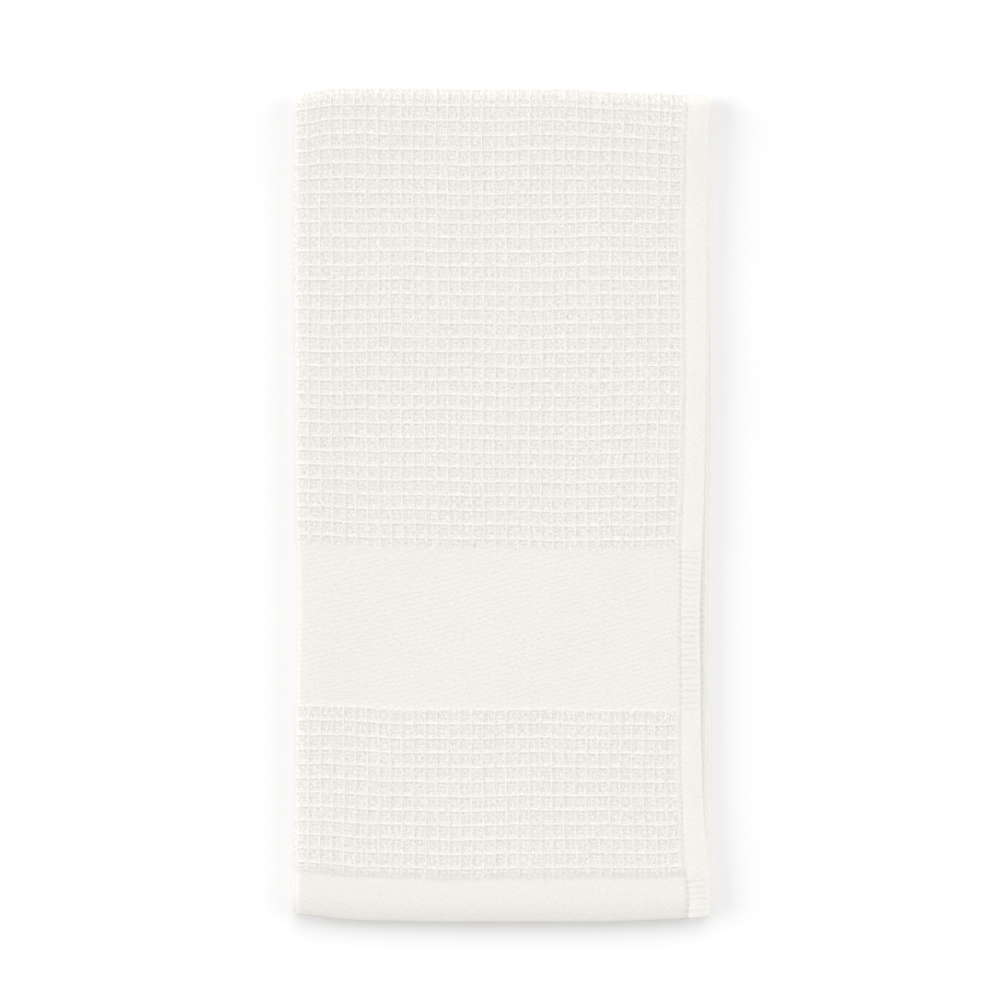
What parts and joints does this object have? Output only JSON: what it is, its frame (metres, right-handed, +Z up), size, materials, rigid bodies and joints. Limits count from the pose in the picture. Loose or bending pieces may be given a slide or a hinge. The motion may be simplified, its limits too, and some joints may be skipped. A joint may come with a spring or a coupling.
{
  "type": "folded waffle-weave hand towel",
  "caption": "Ivory cotton waffle-weave hand towel with a plain woven band and stitched hems, folded lengthwise and across into a flat stack, for drying hands or display.",
  "frame": {"origin": "on the surface that the towel lies on, under the middle of its box", "axes": "+X from the lengthwise fold to the side hems, +Y from the end hems to the top fold, +Z up out of the front layer"},
  "size_m": [0.2108, 0.4144, 0.0124],
  "materials": {
    "towel_cotton": "matt ivory waffle-weave cotton"
  },
  "bodies": {
    "root": {"towel": "towel_cotton"}
  },
  "joints": []
}
